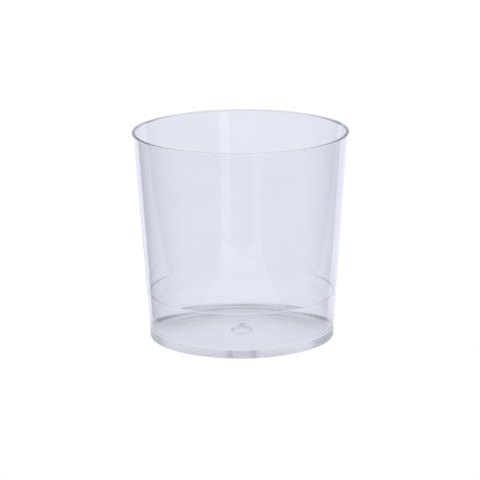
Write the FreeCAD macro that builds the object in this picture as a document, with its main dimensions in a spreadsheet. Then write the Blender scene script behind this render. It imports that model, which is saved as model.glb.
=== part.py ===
import FreeCAD, Part
import math
import os
import Sketcher

# Clear, squat tumbler cup, injection moulded in one piece of polypropylene.
# The origin is the middle of the plane that the cup stands on, and +Z runs up the cup's axis.
# The whole wall is one section in the XZ plane, turned about the axis and then rounded.

NODE = "tumbler_cup"

# Driving dimensions, in millimetres, with angles in degrees
DIMENSIONS = {
    "rim_diameter": 90.0,            # across the outside of the rolled bead
    "cup_height": 87.0,              # from the table to the top of the rim
    "wall_draft": 3.95,              # lean of the outer wall from upright
    "wall_thickness": 0.75,          # square to the leaning wall
    "bead_radius": 0.35,             # rounded top of the bead along the outside of the rim
    "bead_overhang": 0.65,           # how far the bead stands out past the wall
    "bead_underside": 45.0,          # slope under the bead, which lets it leave the mould
    "lip_bevel": 0.2,                # inner edge of the mouth
    "foot_band_height": 3.5,         # upright band at the very bottom of the wall
    "heel_bevel": 0.3,               # outer edge of the foot
    "foot_ring_width": 1.5,          # flat ring that the cup stands on
    "stack_clearance": 0.32,         # air round the foot of a cup that is stacked in this one
    "stack_ledge_width": 1.0,        # step that the foot of a stacked cup sits on
    "ledge_bevel": 0.3,              # inner edge of that step
    "pocket_draft": 0.4,             # lean of the inner wall below the step
    "floor_height": 3.0,             # level top of the floor
    "floor_thickness": 1.6,          # in the middle, where the arched underside leaves it thinnest
    "floor_corner_bevel": 1.8,       # inside corner between wall and floor
    "dimple_diameter": 9.6,          # hollow dome in the middle of the floor, which hides the gate
    "dimple_height": 2.8,
    "dimple_wall": 1.0,
    "gate_nub_diameter": 1.6,        # trimmed stub of the gate, under the dimple
    "gate_nub_height": 0.7,
}

document = FreeCAD.newDocument("TumblerCup")
sheet = document.addObject("Spreadsheet::Sheet", "Dimensions")
for row, (alias, value) in enumerate(DIMENSIONS.items(), start=1):
    sheet.set("A%d" % row, alias)
    sheet.set("B%d" % row, str(value))
    sheet.setAlias("B%d" % row, alias)
document.recompute()


def size(alias):
    """The number that the sheet holds under this name."""
    return float(sheet.get(alias))


def origin_plane(body, role):
    """One of the body's own origin planes, by its role."""
    return [feature for feature in body.Origin.OriginFeatures if feature.Role == role][0]


def new_sketch(body, name, plane="XZ_Plane"):
    """An empty sketch on one of the body's origin planes."""
    sketch = body.newObject("Sketcher::SketchObject", name)
    sketch.AttachmentSupport = (origin_plane(body, plane), "")
    sketch.MapMode = "FlatFace"
    return sketch


def vector(x, z):
    """A point of a sketch: x is the distance from the axis, z the height."""
    return FreeCAD.Vector(x, z, 0)


def add_line(sketch, start, end):
    return sketch.addGeometry(Part.LineSegment(start, end), False)


def add_arc(sketch, centre, radius, start_angle, end_angle):
    """An arc that runs anticlockwise from its start angle to its end angle, in radians."""
    circle = Part.Circle(centre, FreeCAD.Vector(0, 0, 1), radius)
    return sketch.addGeometry(Part.ArcOfCircle(circle, start_angle, end_angle), False)


def bind(sketch, name, expression, kind, *where):
    """A named constraint whose value follows the sheet."""
    value = sketch.evalExpression(expression)
    number = sketch.addConstraint(Sketcher.Constraint(kind, *where, value))
    sketch.renameConstraint(number, name)
    sketch.setExpression("Constraints." + name, expression)


def relate(sketch, kind, *where):
    """A constraint with no value, such as Parallel or Coincident."""
    sketch.addConstraint(Sketcher.Constraint(kind, *where))


# Ends of a sketch's lines and arcs, and the sketch's own axes
START, END, CENTRE = range(1, 4)
ORIGIN, VERTICAL_AXIS = range(-1, -3, -1)
HORIZONTAL_AXIS = ORIGIN

cup = document.addObject("PartDesign::Body", NODE)
cup.Label = NODE
section = new_sketch(cup, "WallSection")

# Where the section's corners lie before the constraints take over
slope = math.tan(math.radians(size("wall_draft")))
pocket_slope = math.tan(math.radians(size("pocket_draft")))
wall_across = size("wall_thickness") / math.cos(math.radians(size("wall_draft")))
bead_centre = vector(size("rim_diameter") / 2 - size("bead_radius"), size("cup_height") - size("bead_radius"))
bead_side = vector(size("rim_diameter") / 2, bead_centre.y)
bead_drop = size("bead_overhang") * math.tan(math.radians(size("bead_underside")))
wall_top_x = bead_side.x - size("bead_overhang")
wall_top = vector(wall_top_x, bead_side.y - bead_drop)
band_top = vector(wall_top_x - slope * (wall_top.y - size("foot_band_height")), size("foot_band_height"))
heel = vector(band_top.x, 0)
ledge_height = size("foot_band_height") + (size("stack_clearance") + wall_across) / slope
ledge_outer = vector(band_top.x + size("stack_clearance"), ledge_height)
ledge_inner = vector(ledge_outer.x - size("stack_ledge_width"), ledge_height)
lip = vector(ledge_outer.x + slope * (size("cup_height") - ledge_height), size("cup_height"))
rim_top = vector(bead_centre.x, size("cup_height"))
pocket_base_height = size("floor_height") + size("floor_corner_bevel")
pocket_base = vector(ledge_inner.x - pocket_slope * (ledge_height - pocket_base_height), pocket_base_height)
floor_edge = vector(pocket_base.x - size("floor_corner_bevel"), size("floor_height"))
dimple_edge = vector(size("dimple_diameter") / 2, size("floor_height"))
dimple_radius = (dimple_edge.x ** 2 + size("dimple_height") ** 2) / (2 * size("dimple_height"))
dimple_centre = vector(0, size("floor_height") + size("dimple_height") - dimple_radius)
dimple_top = vector(0, dimple_centre.y + dimple_radius)
ring_inner = vector(heel.x - size("foot_ring_width"), 0)
arch_rise = size("floor_height") - size("floor_thickness")
arch_radius = (ring_inner.x ** 2 + arch_rise ** 2) / (2 * arch_rise)
arch_centre = vector(0, arch_rise - arch_radius)
roof_radius = dimple_radius - size("dimple_wall")
meeting_y = (arch_radius ** 2 - roof_radius ** 2 + dimple_centre.y ** 2 - arch_centre.y ** 2) / (
    2 * (dimple_centre.y - arch_centre.y))
meeting = vector(math.sqrt(roof_radius ** 2 - (meeting_y - dimple_centre.y) ** 2), meeting_y)
dimple_roof = vector(0, dimple_centre.y + roof_radius)


def angle_from(centre, point):
    return math.atan2(point.y - centre.y, point.x - centre.x)


# The section's edges, from the middle of the floor up the inside, over the rim and down the outside
dimple_arc = add_arc(section, dimple_centre, dimple_radius, angle_from(dimple_centre, dimple_edge), math.pi / 2)
floor_line = add_line(section, dimple_edge, floor_edge)
floor_corner = add_line(section, floor_edge, pocket_base)
pocket_wall = add_line(section, pocket_base, ledge_inner)
ledge = add_line(section, ledge_inner, ledge_outer)
inner_wall = add_line(section, ledge_outer, lip)
rim_flat = add_line(section, lip, rim_top)
bead = add_arc(section, bead_centre, size("bead_radius"), 0, math.pi / 2)
bead_slope = add_line(section, bead_side, wall_top)
outer_wall = add_line(section, band_top, wall_top)
foot_band = add_line(section, heel, band_top)
ring_base = add_line(section, ring_inner, heel)
arch = add_arc(section, arch_centre, arch_radius, angle_from(arch_centre, ring_inner),
               angle_from(arch_centre, meeting))
roof_arc = add_arc(section, dimple_centre, roof_radius, angle_from(dimple_centre, meeting), math.pi / 2)
axis_edge = add_line(section, dimple_roof, dimple_top)
arch_top = section.addGeometry(Part.Point(vector(0, arch_rise)), True)

# Which ends meet
for first, first_end, second, second_end in (
    (dimple_arc, START, floor_line, START),
    (floor_line, END, floor_corner, START),
    (floor_corner, END, pocket_wall, START),
    (pocket_wall, END, ledge, START),
    (ledge, END, inner_wall, START),
    (inner_wall, END, rim_flat, START),
    (rim_flat, END, bead, END),
    (bead, START, bead_slope, START),
    (bead_slope, END, outer_wall, END),
    (outer_wall, START, foot_band, END),
    (foot_band, START, ring_base, END),
    (ring_base, START, arch, START),
    (arch, END, roof_arc, START),
    (roof_arc, END, axis_edge, START),
    (axis_edge, END, dimple_arc, END),
    (dimple_arc, CENTRE, roof_arc, CENTRE),
):
    relate(section, "Coincident", first, first_end, second, second_end)

# How the edges lie
for level in (floor_line, ledge, rim_flat, ring_base):
    relate(section, "Horizontal", level)
relate(section, "Vertical", foot_band)
relate(section, "Parallel", inner_wall, outer_wall)
relate(section, "Vertical", bead, CENTRE, bead, END)
relate(section, "Horizontal", bead, CENTRE, bead, START)
relate(section, "PointOnObject", ring_base, START, HORIZONTAL_AXIS)
for edge, end in ((dimple_arc, CENTRE), (dimple_arc, END), (roof_arc, END), (arch, CENTRE), (arch_top, START)):
    relate(section, "PointOnObject", edge, end, VERTICAL_AXIS)
relate(section, "PointOnObject", arch_top, START, arch)

# Sizes of the rim and the wall
bind(section, "height", "Dimensions.cup_height", "DistanceY", ORIGIN, START, bead, END)
bind(section, "bead_radius", "Dimensions.bead_radius", "Radius", bead)
bind(section, "rim_reach", "Dimensions.rim_diameter / 2", "DistanceX", ORIGIN, START, bead, START)
bind(section, "overhang", "Dimensions.bead_overhang", "DistanceX", bead_slope, END, bead_slope, START)
bind(section, "underside", "Dimensions.bead_overhang * tan(Dimensions.bead_underside * 1 deg)",
     "DistanceY", bead_slope, END, bead_slope, START)
bind(section, "outer_lean", "90 deg - Dimensions.wall_draft * 1 deg", "Angle", outer_wall)
bind(section, "wall", "Dimensions.wall_thickness", "Distance", inner_wall, START, outer_wall)

# Sizes of the foot, and of the step that takes the foot of the next cup in a stack
bind(section, "band_height", "Dimensions.foot_band_height", "DistanceY", ORIGIN, START, foot_band, END)
bind(section, "clearance", "Dimensions.stack_clearance", "DistanceX", foot_band, END, ledge, END)
bind(section, "ledge_width", "Dimensions.stack_ledge_width", "DistanceX", ledge, START, ledge, END)
bind(section, "pocket_lean", "90 deg - Dimensions.pocket_draft * 1 deg", "Angle", pocket_wall)
bind(section, "ring_width", "Dimensions.foot_ring_width", "DistanceX", ring_base, START, ring_base, END)

# Sizes of the floor: level on top, arched underneath, with a hollow dimple in the middle
bind(section, "floor_height", "Dimensions.floor_height", "DistanceY", ORIGIN, START, floor_line, START)
bind(section, "corner_reach", "Dimensions.floor_corner_bevel", "DistanceX", floor_corner, START, floor_corner, END)
bind(section, "corner_rise", "Dimensions.floor_corner_bevel", "DistanceY", floor_corner, START, floor_corner, END)
bind(section, "arch_top", "Dimensions.floor_height - Dimensions.floor_thickness",
     "DistanceY", ORIGIN, START, arch_top, START)
bind(section, "dimple_reach", "Dimensions.dimple_diameter / 2", "DistanceX", ORIGIN, START, floor_line, START)
bind(section, "dimple_height", "Dimensions.dimple_height", "DistanceY", dimple_arc, START, dimple_arc, END)
bind(section, "dimple_wall", "Dimensions.dimple_wall", "DistanceY", axis_edge, START, axis_edge, END)
document.recompute()

wall = cup.newObject("PartDesign::Revolution", "TurnedWall")
wall.Profile = section
wall.ReferenceAxis = (section, ["V_Axis"])
wall.Angle = 360
document.recompute()

# The trimmed stub of the gate hangs from the dimple's roof
ROOF = "Dimensions.floor_height + Dimensions.dimple_height - Dimensions.dimple_wall"
stub_circle = new_sketch(cup, "GateNubCircle", "XY_Plane")
stub_circle.setExpression("AttachmentOffset.Base.z", ROOF + " - Dimensions.gate_nub_height")
circle = stub_circle.addGeometry(
    Part.Circle(vector(0, 0), FreeCAD.Vector(0, 0, 1), size("gate_nub_diameter") / 2), False)
relate(stub_circle, "Coincident", circle, CENTRE, ORIGIN, START)
bind(stub_circle, "diameter", "Dimensions.gate_nub_diameter", "Diameter", circle)
nub = cup.newObject("PartDesign::Pad", "GateNub")
nub.Profile = stub_circle
nub.setExpression("Length", "Dimensions.gate_nub_height + Dimensions.dimple_wall / 2")
document.recompute()


NEAR = 1e-4


def ring_edge(shape, corner):
    """The name of the round edge that a corner of the section draws as it turns about the axis."""
    for number, edge in enumerate(shape.Edges, start=1):
        if edge.Degenerated or not isinstance(edge.Curve, Part.Circle):
            continue
        if abs(edge.Curve.Radius - corner.x) < NEAR and abs(edge.Curve.Center.z - corner.y) < NEAR:
            return "Edge%d" % number
    raise ValueError("no round edge at %s" % corner)


def bevel(name, corner, expression):
    """A chamfer along one round edge, with its size bound to the sheet."""
    base = cup.Tip
    feature = cup.newObject("PartDesign::Chamfer", name)
    feature.Base = (base, [ring_edge(base.Shape, corner)])
    feature.setExpression("Size", expression)
    document.recompute()


bevel("LipBevel", section.getPoint(rim_flat, START), "Dimensions.lip_bevel")
bevel("LedgeBevel", section.getPoint(ledge, START), "Dimensions.ledge_bevel")
bevel("HeelBevel", section.getPoint(foot_band, START), "Dimensions.heel_bevel")

# Every feature has to be sound before anything is written
for item in document.Objects:
    assert "Invalid" not in item.State and "Error" not in item.State, "%s failed" % item.Name
assert section.FullyConstrained, "the section can still move"
shape = cup.Shape
assert not shape.isNull() and shape.isValid() and len(shape.Solids) == 1, "the cup isn't one sound solid"
ledge_point = section.getPoint(ledge, START)
print("volume %.0f mm3, foot diameter %.2f mm" % (shape.Volume, 2 * section.getPoint(foot_band, START).x))
print("stacking step %.2f mm up, %.2f mm across inside" % (ledge_point.y, 2 * ledge_point.x))

os.makedirs("parts", exist_ok=True)
shape.exportStep("parts/" + NODE + ".step")
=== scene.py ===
# %% [markdown]
# A clear, squat tumbler cup, injection moulded in one piece of polypropylene and standing on pale
# paper. There is only one piece, so nearly everything that the eye reads as "clear plastic" comes
# from three things: a thin wall with softly rounded edges, a floor whose thickness changes, and a
# studio for that wall to bend and mirror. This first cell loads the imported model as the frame.

# %% Load the frame
import math
import bpy
from mathutils import Matrix, Vector


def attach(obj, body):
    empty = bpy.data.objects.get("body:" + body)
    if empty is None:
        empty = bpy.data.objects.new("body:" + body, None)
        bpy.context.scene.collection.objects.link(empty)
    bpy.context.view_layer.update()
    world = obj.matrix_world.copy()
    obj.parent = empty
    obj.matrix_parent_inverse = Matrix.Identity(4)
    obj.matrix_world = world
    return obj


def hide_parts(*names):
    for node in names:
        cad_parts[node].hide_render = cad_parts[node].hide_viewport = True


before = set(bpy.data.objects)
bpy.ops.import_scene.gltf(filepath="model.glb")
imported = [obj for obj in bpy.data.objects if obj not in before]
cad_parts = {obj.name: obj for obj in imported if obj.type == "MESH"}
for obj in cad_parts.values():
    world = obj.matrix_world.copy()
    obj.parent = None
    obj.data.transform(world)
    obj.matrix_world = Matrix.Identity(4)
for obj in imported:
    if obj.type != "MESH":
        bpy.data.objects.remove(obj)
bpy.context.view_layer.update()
scene = bpy.context.scene

# %% [markdown]
# The real sizes, in millimetres, are those of the CAD solid. The wall leans by nearly 4 degrees,
# the draft that lets the cup slide off the core of its mould. The bead is the rolled edge of the
# mouth, the ledge is a small step inside that carries the foot of the next cup in a stack, and the
# dimple in the middle of the floor hides the gate, where the plastic was fed in.

# %% Sizes of the cup
MM = 0.001
RIM_RADIUS = 45.0
HEIGHT = 87.0
WALL_DRAFT = math.radians(3.95)
WALL_THICKNESS = 0.75
BEAD_RADIUS = 0.35
BEAD_OVERHANG = 0.65
FOOT_BAND_HEIGHT = 3.5
FOOT_RING_WIDTH = 1.5
STACK_CLEARANCE = 0.32
LEDGE_WIDTH = 1.0
POCKET_DRAFT = math.radians(0.4)
FLOOR_HEIGHT = 3.0
FLOOR_THICKNESS = 1.6
DIMPLE_RADIUS = 4.8
DIMPLE_HEIGHT = 2.8
DIMPLE_WALL = 1.0
GATE_NUB_RADIUS = 0.8
GATE_NUB_HEIGHT = 0.7
print("rim", 2 * RIM_RADIUS, "mm across, cup", HEIGHT, "mm high, wall", WALL_THICKNESS, "mm")

# %% [markdown]
# Every edge of a moulding is a little round, because the steel that shaped it was. The solid has
# bevels or sharp edges there, but a clear edge shows its round as a thin line of light, so the
# visual piece has real ones. The corner between wall and floor is the softest: a sharp one there
# would be weak.

# %% Rounds of the edges
LIP_ROUND = 0.2
BEAD_ROOT_ROUND = 0.6
LEDGE_ROUND = 0.3
SEAT_ROUND = 0.2
FLOOR_CORNER_ROUND = 2.5
BAND_ROUND = 1.0
HEEL_ROUND = 0.3
EDGE_ROUND = 0.1
DIMPLE_EDGE_ROUND = 0.8
print("rounds from", EDGE_ROUND, "to", FLOOR_CORNER_ROUND, "mm")

# %% [markdown]
# The other places follow from the sizes. The ledge lies where the inner wall, coming down, has
# narrowed to the foot of the next cup and its clearance, so its height comes from the wall's lean.

# %% Places that follow from the sizes
SLOPE = math.tan(WALL_DRAFT)
WALL_ACROSS = WALL_THICKNESS / math.cos(WALL_DRAFT)
WALL_TOP = (RIM_RADIUS - BEAD_OVERHANG, HEIGHT - BEAD_RADIUS - BEAD_OVERHANG)
FOOT_RADIUS = WALL_TOP[0] - SLOPE * (WALL_TOP[1] - FOOT_BAND_HEIGHT)
LEDGE_HEIGHT = FOOT_BAND_HEIGHT + (STACK_CLEARANCE + WALL_ACROSS) / SLOPE
LEDGE_OUTER = FOOT_RADIUS + STACK_CLEARANCE
LEDGE_INNER = LEDGE_OUTER - LEDGE_WIDTH
LIP_RADIUS = LEDGE_OUTER + SLOPE * (HEIGHT - LEDGE_HEIGHT)
FLOOR_EDGE = LEDGE_INNER - math.tan(POCKET_DRAFT) * (LEDGE_HEIGHT - FLOOR_HEIGHT)
RING_INNER = FOOT_RADIUS - FOOT_RING_WIDTH
ARCH_TOP = FLOOR_HEIGHT - FLOOR_THICKNESS
NUB_END = FLOOR_HEIGHT + DIMPLE_HEIGHT - DIMPLE_WALL - GATE_NUB_HEIGHT
print("foot", round(2 * FOOT_RADIUS, 2), "mm across, ledge", round(LEDGE_HEIGHT, 2), "mm up")


# %% [markdown]
# The section is drawn the way a toolmaker draws it: half of the cup's cut face, as a chain of
# corners. A corner is a distance from the axis, a height, and the radius that it is rounded with.
# Forms that are round already, such as the bead and the domes, are short steps along an arc.

# %% Arcs and domes of the section
DOME_STEPS = 24
ARCH_STEPS = 60
BEAD_STEPS = 12


def arc_points(centre, radius, start, end, steps):
    """Points on an arc of the section, as corners that need no rounding."""
    angles = [start + (end - start) * step / steps for step in range(steps + 1)]
    return [(centre[0] + radius * math.cos(angle), centre[1] + radius * math.sin(angle), 0.0)
            for angle in angles]


def dome(reach, rise, base, steps, wall=0.0):
    """Points from the edge up to the axis of a dome that stands on the height base."""
    radius = (reach ** 2 + rise ** 2) / (2 * rise)
    edge = math.asin((radius - rise) / radius)
    centre = (0.0, base + rise - radius)
    return arc_points(centre, radius - wall, edge, math.pi / 2, steps)


dimple_top = dome(DIMPLE_RADIUS, DIMPLE_HEIGHT, FLOOR_HEIGHT, DOME_STEPS)
dimple_roof = dome(DIMPLE_RADIUS, DIMPLE_HEIGHT, FLOOR_HEIGHT, DOME_STEPS, DIMPLE_WALL)
arch = dome(RING_INNER, ARCH_TOP, 0.0, ARCH_STEPS)
print("arched underside", round(ARCH_TOP, 2), "mm high in the middle")

# %% [markdown]
# From the axis, the inside runs down over the dimple, across the level floor, round the corner, up
# to the ledge and on to the lip. The dimple's arc stops at its shoulder, a little above the floor,
# so that the round at its foot has room.

# %% Inside of the cup
SHOULDER = 0.88

inside = [point for point in dimple_top[::-1] if point[0] < SHOULDER * DIMPLE_RADIUS]
inside += [(DIMPLE_RADIUS, FLOOR_HEIGHT, DIMPLE_EDGE_ROUND),
           (FLOOR_EDGE, FLOOR_HEIGHT, FLOOR_CORNER_ROUND),
           (LEDGE_INNER, LEDGE_HEIGHT, LEDGE_ROUND),
           (LEDGE_OUTER, LEDGE_HEIGHT, SEAT_ROUND),
           (LIP_RADIUS, HEIGHT, LIP_ROUND)]
print("corners inside", len(inside))

# %% [markdown]
# At the rim the section turns over the bead, which stiffens the mouth and is what the lips feel.
# Then it follows the outer wall down to the upright band of the foot and the ring that stands on
# the table.

# %% Rim, outer wall and foot
bead_centre = (RIM_RADIUS - BEAD_RADIUS, HEIGHT - BEAD_RADIUS)
outside = arc_points(bead_centre, BEAD_RADIUS, math.pi / 2, 0, BEAD_STEPS)
outside += [(*WALL_TOP, BEAD_ROOT_ROUND),
            (FOOT_RADIUS, FOOT_BAND_HEIGHT, BAND_ROUND),
            (FOOT_RADIUS, 0.0, HEEL_ROUND),
            (RING_INNER, 0.0, EDGE_ROUND)]
print("corners outside", len(outside))

# %% [markdown]
# The floor is level on top and arched below, so it is thick at the wall and thin in the middle.
# That wedge is what throws the dark crescent at the back of the foot. Under the dimple the arch
# opens into a recess, and the nub that is left of the gate hangs from its roof. The recess starts
# a little above the arch, and the arch stops a little outside it, again to leave the round room.

# %% Arched underside and gate nub
RECESS_DEPTH = 0.1
RECESS_MARGIN = 0.3

roof = [point for point in dimple_roof
        if point[0] > GATE_NUB_RADIUS + EDGE_ROUND and point[1] > ARCH_TOP + RECESS_DEPTH]
recess_radius, recess_height = roof[0][:2]
underneath = [point for point in arch[1:] if point[0] > recess_radius + RECESS_MARGIN]
underneath += [(recess_radius, recess_height, DIMPLE_EDGE_ROUND)]
underneath += [point for point in roof if point[0] < SHOULDER * recess_radius]
underneath += [(GATE_NUB_RADIUS, roof[-1][1], EDGE_ROUND),
               (GATE_NUB_RADIUS, NUB_END, EDGE_ROUND),
               (0.0, NUB_END, 0.0)]
section = inside + outside + underneath
print("section corners", len(section), "thinnest floor", FLOOR_THICKNESS, "mm")


# %% [markdown]
# Each corner then becomes a small arc that touches both of its sides. The cut back along the sides
# is limited by their length, so a round can never run past its neighbours, whatever the sizes are.
# A corner whose half angle is nearly a right angle is nearly straight, and stays as it is.

# %% Round the corners
ARC_STEP = math.radians(6)
LEAST_STEPS = 2
NEARLY_STRAIGHT = math.radians(89.5)
MOST_OF_SIDE = 0.98


def corner_arc(before, corner, after):
    """The points that stand in for a corner of the section."""
    x, y, radius = corner
    to_before = Vector((before[0] - x, before[1] - y))
    to_after = Vector((after[0] - x, after[1] - y))
    half = to_before.angle(to_after) / 2
    if radius == 0 or half > NEARLY_STRAIGHT:
        return [(x, y)]
    room = MOST_OF_SIDE * min(to_before.length, to_after.length)
    cut = min(radius / math.tan(half), room)
    radius = cut * math.tan(half)
    first = Vector((x, y)) + cut * to_before.normalized()
    last = Vector((x, y)) + cut * to_after.normalized()
    middle = (to_before.normalized() + to_after.normalized()).normalized()
    centre = Vector((x, y)) + middle * radius / math.sin(half)
    start = math.atan2(first.y - centre.y, first.x - centre.x)
    end = math.atan2(last.y - centre.y, last.x - centre.x)
    turn = (end - start + math.pi) % (2 * math.pi) - math.pi
    steps = max(LEAST_STEPS, math.ceil(abs(turn) / ARC_STEP))
    angles = [start + turn * step / steps for step in range(steps + 1)]
    return [(centre.x + radius * math.cos(angle), centre.y + radius * math.sin(angle))
            for angle in angles]


outline = [section[0][:2]]
for before, corner, after in zip(section, section[1:], section[2:]):
    outline += corner_arc(before, corner, after)
outline.append(section[-1][:2])
print("outline points", len(outline))


# %% [markdown]
# Clear plastic shows every facet, because a facet bends light as a flat pane. So the mesh gets its
# normals from the section itself: long straight stretches keep their own direction right up to the
# arc that ends them, and the light runs over the wall without a break.

# %% Directions that the surface faces
def outline_normals(outline):
    """The outward direction at each point, where a long side counts for more than a short one."""
    normals = []
    for number in range(len(outline)):
        total = Vector((0, 0))
        for first, second in ((number - 1, number), (number, number + 1)):
            if 0 <= first and second < len(outline):
                side = Vector(outline[second]) - Vector(outline[first])
                total += Vector((-side.y, side.x)) * side.length
        normals.append(total.normalized())
    normals[0] = Vector((0, 1))
    normals[-1] = Vector((0, -1))
    return normals


outward = outline_normals(outline)
print("normals", len(outward))


# %% [markdown]
# The cup is round, so turning the section about the Z axis makes the whole of it, as the lathe made
# the mould. A point on the axis gives one vertex and any other gives a ring of them. This is plain
# Python and not a Screw modifier, because the normals are turned along with the points.

# %% Rings of points
COLUMNS = 256
ON_AXIS = 1e-6


def turned_points(outline, outward):
    """Points in metres, their normals, and the numbers of the points in each ring."""
    points, normals, rings = [], [], []
    for (radius, height), normal in zip(outline, outward):
        columns = 1 if radius < ON_AXIS else COLUMNS
        rings.append(range(len(points), len(points) + columns))
        for column in range(columns):
            angle = 2 * math.pi * column / COLUMNS
            points.append((radius * MM * math.cos(angle), radius * MM * math.sin(angle),
                           height * MM))
            normals.append((normal.x * math.cos(angle), normal.x * math.sin(angle), normal.y))
    return points, normals, rings


points, normals, rings = turned_points(outline, outward)
print("rings", len(rings), "points", len(points))


# %% [markdown]
# Between each ring and the next lies a belt of faces with four corners. On the axis a ring is one
# point, so corners that fall together are dropped, and the faces there have three. The finished
# mesh rides on the body called root and stands in for the solid of the same cup.

# %% Faces and the finished cup
def belt(lower, upper):
    """The faces between two rings."""
    faces = []
    for column in range(COLUMNS):
        after = (column + 1) % COLUMNS
        corners = [lower[column % len(lower)], upper[column % len(upper)],
                   upper[after % len(upper)], lower[after % len(lower)]]
        faces.append(list(dict.fromkeys(corners)))
    return faces


faces = [face for lower, upper in zip(rings, rings[1:]) for face in belt(lower, upper)]
mesh = bpy.data.meshes.new("moulded_wall")
mesh.from_pydata(points, [], faces)
mesh.update()
mesh.shade_smooth()
mesh.normals_split_custom_set_from_vertices(normals)
cup = bpy.data.objects.new("moulded_wall", mesh)
scene.collection.objects.link(cup)
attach(cup, "root")
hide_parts("tumbler_cup")
print("faces", len(cup.data.polygons))


# %% [markdown]
# Colours are written as sRGB hex and turned into the linear values that the shaders want. A colour
# ramp is given as stops, each a position from 0 to 1 and a linear colour.

# %% Colours
def srgb(code):
    """Linear RGBA of a six digit hex colour."""
    channels = [int(code[start:start + 2], 16) / 255 for start in (0, 2, 4)]
    linear = [c / 12.92 if c <= 0.04045 else ((c + 0.055) / 1.055) ** 2.4 for c in channels]
    return (*linear, 1.0)


def set_stops(elements, stops):
    """Gives the elements of a colour ramp these stops, and no others."""
    while len(elements) > len(stops):
        elements.remove(elements[-1])
    while len(elements) < len(stops):
        elements.new(1.0)
    for element, (position, colour) in zip(elements, stops):
        element.position = position
        element.color = colour


print("mid grey 808080 is", round(srgb("808080")[0], 3), "in linear light")


# %% [markdown]
# One small function adds a node with its settings and links, so that every material below reads as
# a list. An input is given by its name, with _ for a space, or by its number as i0, i1 and so on
# where several have the same name: on a Mix node, which is told to mix COLOURS, i0 is the factor,
# i6 and i7 are A and B, and output 2 is the mixed colour.

# %% Nodes
COLOURS = {"data_type": "RGBA"}


def new_tree(owner):
    """An empty node tree of a material or a world."""
    owner.use_nodes = True
    owner.node_tree.nodes.clear()
    return owner.node_tree


def add_node(tree, kind, settings=(), stops=(), **inputs):
    """A node with its settings and colour stops, and each input set or linked to a socket."""
    node = tree.nodes.new(kind)
    for name, value in dict(settings).items():
        setattr(node, name, value)
    if stops:
        set_stops(node.color_ramp.elements, stops)
    for name, value in inputs.items():
        numbered = name[0] == "i" and name[1:].isdigit()
        socket = node.inputs[int(name[1:]) if numbered else name.replace("_", " ")]
        if isinstance(value, bpy.types.NodeSocket):
            tree.links.new(value, socket)
        else:
            socket.default_value = value
    return node


print("Mix nodes work in", COLOURS["data_type"])


# %% [markdown]
# The plastic is taken to be natural polypropylene, which is clear with a faint cool haze and has a
# refractive index of 1.49. Both finishes of this cup are that plastic, so they share one function.
# Tint and roughness follow a noise pattern, because neither the haze nor the polish of a moulding
# is quite even. Noise seldom leaves the range from 0.3 to 0.7, so that is the range which is
# spread over the two ends.

# %% Clear polypropylene
PLASTIC_IOR = 1.49
CLEAREST, HAZIEST = srgb("fafafc"), srgb("f7f8fb")
NOISE_LOW, NOISE_HIGH = 0.3, 0.7


def clear_plastic(tree, pattern, roughness, **more):
    """Polypropylene whose tint and roughness follow a pattern, as the tree's surface."""
    tint = add_node(tree, "ShaderNodeValToRGB", Fac=pattern,
                    stops=[(NOISE_LOW, HAZIEST), (NOISE_HIGH, CLEAREST)])
    finish = add_node(tree, "ShaderNodeMapRange", Value=pattern, From_Min=NOISE_LOW,
                      From_Max=NOISE_HIGH, To_Min=roughness[0], To_Max=roughness[1])
    surface = add_node(tree, "ShaderNodeBsdfPrincipled", Base_Color=tint.outputs["Color"],
                       Roughness=finish.outputs["Result"], IOR=PLASTIC_IOR,
                       Transmission_Weight=1.0, **more)
    add_node(tree, "ShaderNodeOutputMaterial", Surface=surface.outputs["BSDF"])


print("refractive index", PLASTIC_IOR)

# %% [markdown]
# The wall is moulded against polished steel, which gives it a gloss. Two things keep it from
# looking like glass. Its surface waves by half a micrometre over some 6 mm, where the melt cooled
# unevenly, and its haze changes over about 15 mm. Both are noise in real lengths.

# %% Gloss of the wall
WAVE_LENGTH = 6 * MM
WAVE_DEPTH = 0.0005 * MM
HAZE_LENGTH = 15 * MM
POLISHED = (0.02, 0.045)

gloss = bpy.data.materials.new("clear polypropylene, gloss moulded")
tree = new_tree(gloss)
place = add_node(tree, "ShaderNodeTexCoord").outputs["Object"]
waves = add_node(tree, "ShaderNodeTexNoise", Vector=place, Scale=1 / WAVE_LENGTH,
                 Detail=1.0, Roughness=0.4)
haze = add_node(tree, "ShaderNodeTexNoise", Vector=place, Scale=1 / HAZE_LENGTH,
                Detail=3.0, Roughness=0.5)
bump = add_node(tree, "ShaderNodeBump", Height=waves.outputs["Fac"], Strength=1.0,
                Distance=WAVE_DEPTH)
clear_plastic(tree, haze.outputs["Fac"], POLISHED, Normal=bump.outputs["Normal"])
cup.data.materials.append(gloss)
print("the wall waves by", WAVE_DEPTH / MM, "mm over", WAVE_LENGTH / MM, "mm")

# %% [markdown]
# The arched underside is taken to be matt. Moulds often have a fine spark-eroded texture there, so
# that the foot does not stick to a wet table. It is the same plastic with a rougher surface, and
# it blurs what is seen through the foot, as in the photograph. Such a grain is about 0.1 mm, too
# fine to show in the render, so it is drawn at 0.9 mm. The matt faces are the ones low in the cup
# that look down.

# %% Matt underside
GRAIN_LENGTH = 0.9 * MM
MATT = (0.12, 0.16)
FACING_DOWN = -0.5

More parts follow.
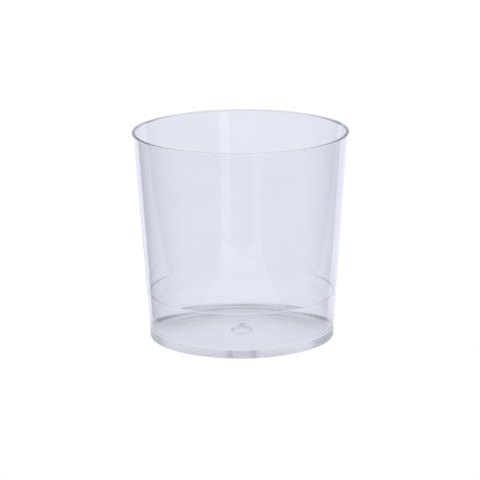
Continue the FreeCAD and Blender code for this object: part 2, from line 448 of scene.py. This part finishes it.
base = bpy.data.materials.new("clear polypropylene, spark-eroded base")
tree = new_tree(base)
place = add_node(tree, "ShaderNodeTexCoord").outputs["Object"]
grain = add_node(tree, "ShaderNodeTexNoise", Vector=place, Scale=1 / GRAIN_LENGTH,
                 Detail=1.0, Roughness=0.5)
clear_plastic(tree, grain.outputs["Fac"], MATT)
cup.data.materials.append(base)
base_number = cup.data.materials.find(base.name)
top_of_floor = (FLOOR_HEIGHT + DIMPLE_HEIGHT) * MM
matt_faces = [face for face in cup.data.polygons
              if face.normal.z < FACING_DOWN and face.center.z < top_of_floor]
for face in matt_faces:
    face.material_index = base_number
print("matt faces", len(matt_faces))

# %% [markdown]
# The cup stands on a sheet of pale paper. In front the sheet is a strip a little wider than the
# cup, and behind the cup it opens out into the backdrop. The front of the wall leans over the
# table, so it mirrors the strip as the pale upright shape that widens towards the foot, and the
# sides of the wall mirror the darker table beside the sheet. The sheet lies a hair below the foot,
# since two faces in the very same place would flicker.

# %% Paper sheet
STRIP_HALF_WIDTH = 0.057
FRONT_END, FAR_END = -0.157, 1.2
OPENS_LEFT, OPENS_RIGHT = 0.02, 0.0
FAR_LEFT, FAR_RIGHT = -0.85, 1.15
PAPER_DROP = 0.2 * MM

paper_edge = [(STRIP_HALF_WIDTH, FRONT_END), (STRIP_HALF_WIDTH, OPENS_RIGHT),
              (FAR_RIGHT, FAR_END), (FAR_LEFT, FAR_END),
              (-STRIP_HALF_WIDTH, OPENS_LEFT), (-STRIP_HALF_WIDTH, FRONT_END)]
sheet_mesh = bpy.data.meshes.new("paper_sheet")
sheet_mesh.from_pydata([(x, y, -PAPER_DROP) for x, y in paper_edge], [], [range(len(paper_edge))])
sheet = bpy.data.objects.new("paper_sheet", sheet_mesh)
scene.collection.objects.link(sheet)
print("paper strip", round(2 * STRIP_HALF_WIDTH / MM), "mm wide in front of the cup")


# %% [markdown]
# The camera sees the paper burnt out to white, while the cup mirrors and bends a glow in the
# paper's colour, with painted light in front and painted shade under and behind the cup. Light Path
# tells the two kinds of ray apart. The paper's glow is only for the rays that look at it, and
# lights nothing else.

# %% Rays that look at the paper
def seen_rays(tree):
    """Two sockets: is this a camera ray, and is it a camera, glossy or transmission ray."""
    path = add_node(tree, "ShaderNodeLightPath")
    mirrored = add_node(tree, "ShaderNodeMath", {"operation": "MAXIMUM"},
                        i0=path.outputs["Is Glossy Ray"], i1=path.outputs["Is Transmission Ray"])
    seen = add_node(tree, "ShaderNodeMath", {"operation": "MAXIMUM"},
                    i0=mirrored.outputs[0], i1=path.outputs["Is Camera Ray"])
    return path.outputs["Is Camera Ray"], seen.outputs[0]


CAMERA_WHITE = srgb("f6f6f6")
print("glow of the paper for the camera", round(CAMERA_WHITE[0], 3))

# %% [markdown]
# The glow colour is painted light and shade: paler in front, where the light falls, and darker
# under the cup and behind it, set by position alone. Its diffuse share is plain: for the camera it
# comes to white together with the glow, and the cup still darkens it a little where it stands.

# %% Matt paper
# Painted light and shade: the glow is lighter in front of the cup and darker under and behind it,
# by position.
PAPER_SHADE_FADE = (-0.075, -0.045)
FRONT_PAINTED_LIGHT = srgb("fdffff")
BEHIND_PAINTED_SHADE = srgb("dee0e8")
PAPER_MATT = srgb("9c9ca0")

paper = bpy.data.materials.new("pale matt studio paper")
tree = new_tree(paper)
camera_ray, seen = seen_rays(tree)
place = add_node(tree, "ShaderNodeTexCoord").outputs["Object"]
parts = add_node(tree, "ShaderNodeSeparateXYZ", Vector=place)
depth = add_node(tree, "ShaderNodeMapRange", Value=parts.outputs["Y"],
                 From_Min=PAPER_SHADE_FADE[0], From_Max=PAPER_SHADE_FADE[1])
# Painted light in front and painted shade behind, mixed by the distance along Y.
painted_falloff = add_node(tree, "ShaderNodeMix", COLOURS, i0=depth.outputs["Result"],
               i6=FRONT_PAINTED_LIGHT, i7=BEHIND_PAINTED_SHADE)
colour = add_node(tree, "ShaderNodeMix", COLOURS, i0=camera_ray,
                  i6=painted_falloff.outputs[2], i7=CAMERA_WHITE)
glow = add_node(tree, "ShaderNodeEmission", Color=colour.outputs[2], Strength=seen)
matt = add_node(tree, "ShaderNodeBsdfDiffuse", Color=PAPER_MATT)
both = add_node(tree, "ShaderNodeAddShader", i0=glow.outputs[0], i1=matt.outputs[0])
add_node(tree, "ShaderNodeOutputMaterial", Surface=both.outputs[0])
sheet_mesh.materials.append(paper)
print("the paper turns paler over", round((PAPER_SHADE_FADE[1] - PAPER_SHADE_FADE[0]) / MM), "mm")

# %% [markdown]
# The rest of the studio is a world of large cards, written by direction from the cup: azimuth 0 is
# the backdrop behind it, 90 its right and 180 the camera. The lower ring is the table round the
# paper and the upper ring the room. The backdrop is bright and the sides are dark: a thin clear
# wall mirrors the sides along its edges, so dark sides draw its outline, and a white card at the
# left end of the backdrop gives the outline there a bright seam. A narrow white card to the right
# of the camera puts the upright streak on the wall.

# %% Studio cards by azimuth
TABLE = [(-180, "e7e9f1"), (-150, "e5e7ef"), (-110, "e1e3eb"), (-80, "94959a"), (-36, "7a7c80"),
         (-31, "f4f6ff"), (-12, "eceef6"), (0, "eceef6"), (7, "d5d7de"), (14, "e5e7ef"),
         (40, "e5e7ef"), (46, "a0a2a7"), (64, "a8aab0"), (85, "c7c9d0"), (110, "dee0e8"),
         (150, "dadce3"), (155, "cfd1d8"), (158, "ffffff"), (166, "ffffff"), (169, "dadce3"),
         (175, "e5e7ef")]
ROOM = [(-180, "94959a"), (-60, "88898e"), (-36, "9ea0a5"), (-31, "f4f6ff"), (-12, "eceef6"),
        (0, "eceef6"), (7, "e5e7ef"), (40, "e5e7ef"), (46, "9ea0a5"), (60, "88898e"),
        (110, "606165"), (155, "606165"), (158, "ffffff"), (166, "ffffff"), (169, "94959a")]
print("stops in the lower ring", len(TABLE), "and in the upper ring", len(ROOM))

# %% [markdown]
# Far below, the studio is plain grey. Above the cards is a pale ceiling, darker right overhead: the
# back of the floor bends that dark patch into the crescent. Each layer fades in over the one below
# it between two elevations in degrees. A camera ray that meets the world sees plain white, as it
# does on the paper, and every other ray sees the cards at a strength of 1.

# %% World
CEILING = [(0, "d1d3da")]
OVERHEAD = [(0, "7a7c80")]
BELOW = srgb("dcdee6")
LAYERS = ((TABLE, -45, -30), (ROOM, -13, -9), (CEILING, 22, 42), (OVERHEAD, 50, 66))

world = bpy.data.worlds.new("studio cards")
scene.world = world
tree = new_tree(world)
direction = add_node(tree, "ShaderNodeTexCoord").outputs["Generated"]
parts = add_node(tree, "ShaderNodeSeparateXYZ", Vector=direction)
azimuth = add_node(tree, "ShaderNodeMath", {"operation": "ARCTAN2"},
                   i0=parts.outputs["X"], i1=parts.outputs["Y"])
turn = add_node(tree, "ShaderNodeMapRange", Value=azimuth.outputs[0],
                From_Min=-math.pi, From_Max=math.pi)
studio = BELOW
for cards, low, high in LAYERS:
    stops = [((degrees + 180) / 360, srgb(code)) for degrees, code in cards]
    ring = add_node(tree, "ShaderNodeValToRGB", Fac=turn.outputs["Result"], stops=stops)
    height = add_node(tree, "ShaderNodeMapRange", {"interpolation_type": "SMOOTHSTEP"},
                      Value=parts.outputs["Z"], From_Min=math.sin(math.radians(low)),
                      From_Max=math.sin(math.radians(high)))
    layer = add_node(tree, "ShaderNodeMix", COLOURS, i0=height.outputs["Result"],
                     i6=studio, i7=ring.outputs["Color"])
    studio = layer.outputs[2]
camera_ray = add_node(tree, "ShaderNodeLightPath").outputs["Is Camera Ray"]
colour = add_node(tree, "ShaderNodeMix", COLOURS, i0=camera_ray, i6=studio, i7=srgb("ffffff"))
sky = add_node(tree, "ShaderNodeBackground", Color=colour.outputs[2], Strength=1.0)
add_node(tree, "ShaderNodeOutputWorld", Surface=sky.outputs[0])
print("layers of the studio", len(LAYERS))

# %% [markdown]
# The photograph was taken with a long lens: the rim and foot ellipses are nearly alike. The focal
# length was fitted to them in pixels of the square picture, and is turned into millimetres here.

# %% Lens
FOCAL_PIXELS = 2755.3
PICTURE_SIDE = 480
SENSOR_WIDTH = 36.0
NEAREST, FARTHEST = 0.01, 50.0

lens = bpy.data.cameras.new("camera")
lens.sensor_width = SENSOR_WIDTH
lens.lens = FOCAL_PIXELS * SENSOR_WIDTH / PICTURE_SIDE
lens.clip_start = NEAREST
lens.clip_end = FARTHEST
print("lens", round(lens.lens, 1), "mm")

# %% [markdown]
# The camera stands 1.15 m away and looks down by 14 degrees at a point on the axis, about halfway
# up the cup. Small turns then put that point at the pixel named here and roll the camera a little.

# %% Place and aim of the camera
DISTANCE = 1.150
ELEVATION = math.radians(14.03)
AIM_HEIGHT = 0.045
AIM_PIXEL = (241.25, 228.85)
ROLL = math.radians(0.445)

camera = bpy.data.objects.new("camera", lens)
scene.collection.objects.link(camera)
eye = Vector((0, -DISTANCE * math.cos(ELEVATION), AIM_HEIGHT + DISTANCE * math.sin(ELEVATION)))
back = (eye - Vector((0, 0, AIM_HEIGHT))).normalized()
right = Vector((1, 0, 0))
turned = Matrix((right, back.cross(right), back)).transposed()
pitch = math.atan((PICTURE_SIDE / 2 - AIM_PIXEL[1]) / FOCAL_PIXELS)
yaw = math.atan((AIM_PIXEL[0] - PICTURE_SIDE / 2) / FOCAL_PIXELS)
for angle, axis in ((-pitch, "X"), (yaw, "Y"), (-ROLL, "Z")):
    turned = turned @ Matrix.Rotation(angle, 3, axis)
camera.matrix_world = Matrix.Translation(eye) @ turned.to_4x4()
scene.camera = camera
print("camera at", [round(place, 3) for place in eye])

# %% [markdown]
# The view transform stays at Standard, so a colour comes out as it is written. Light crosses many
# surfaces in a clear foot before it leaves, and light that enters the rim runs down inside the wall
# in a long zigzag. A path that is cut short shows as black, so the number of bounces goes up.

# %% View and bounces
BOUNCES = 96

scene.view_settings.view_transform = "Standard"
scene.cycles.max_bounces = BOUNCES
scene.cycles.transmission_bounces = BOUNCES
scene.cycles.glossy_bounces = BOUNCES
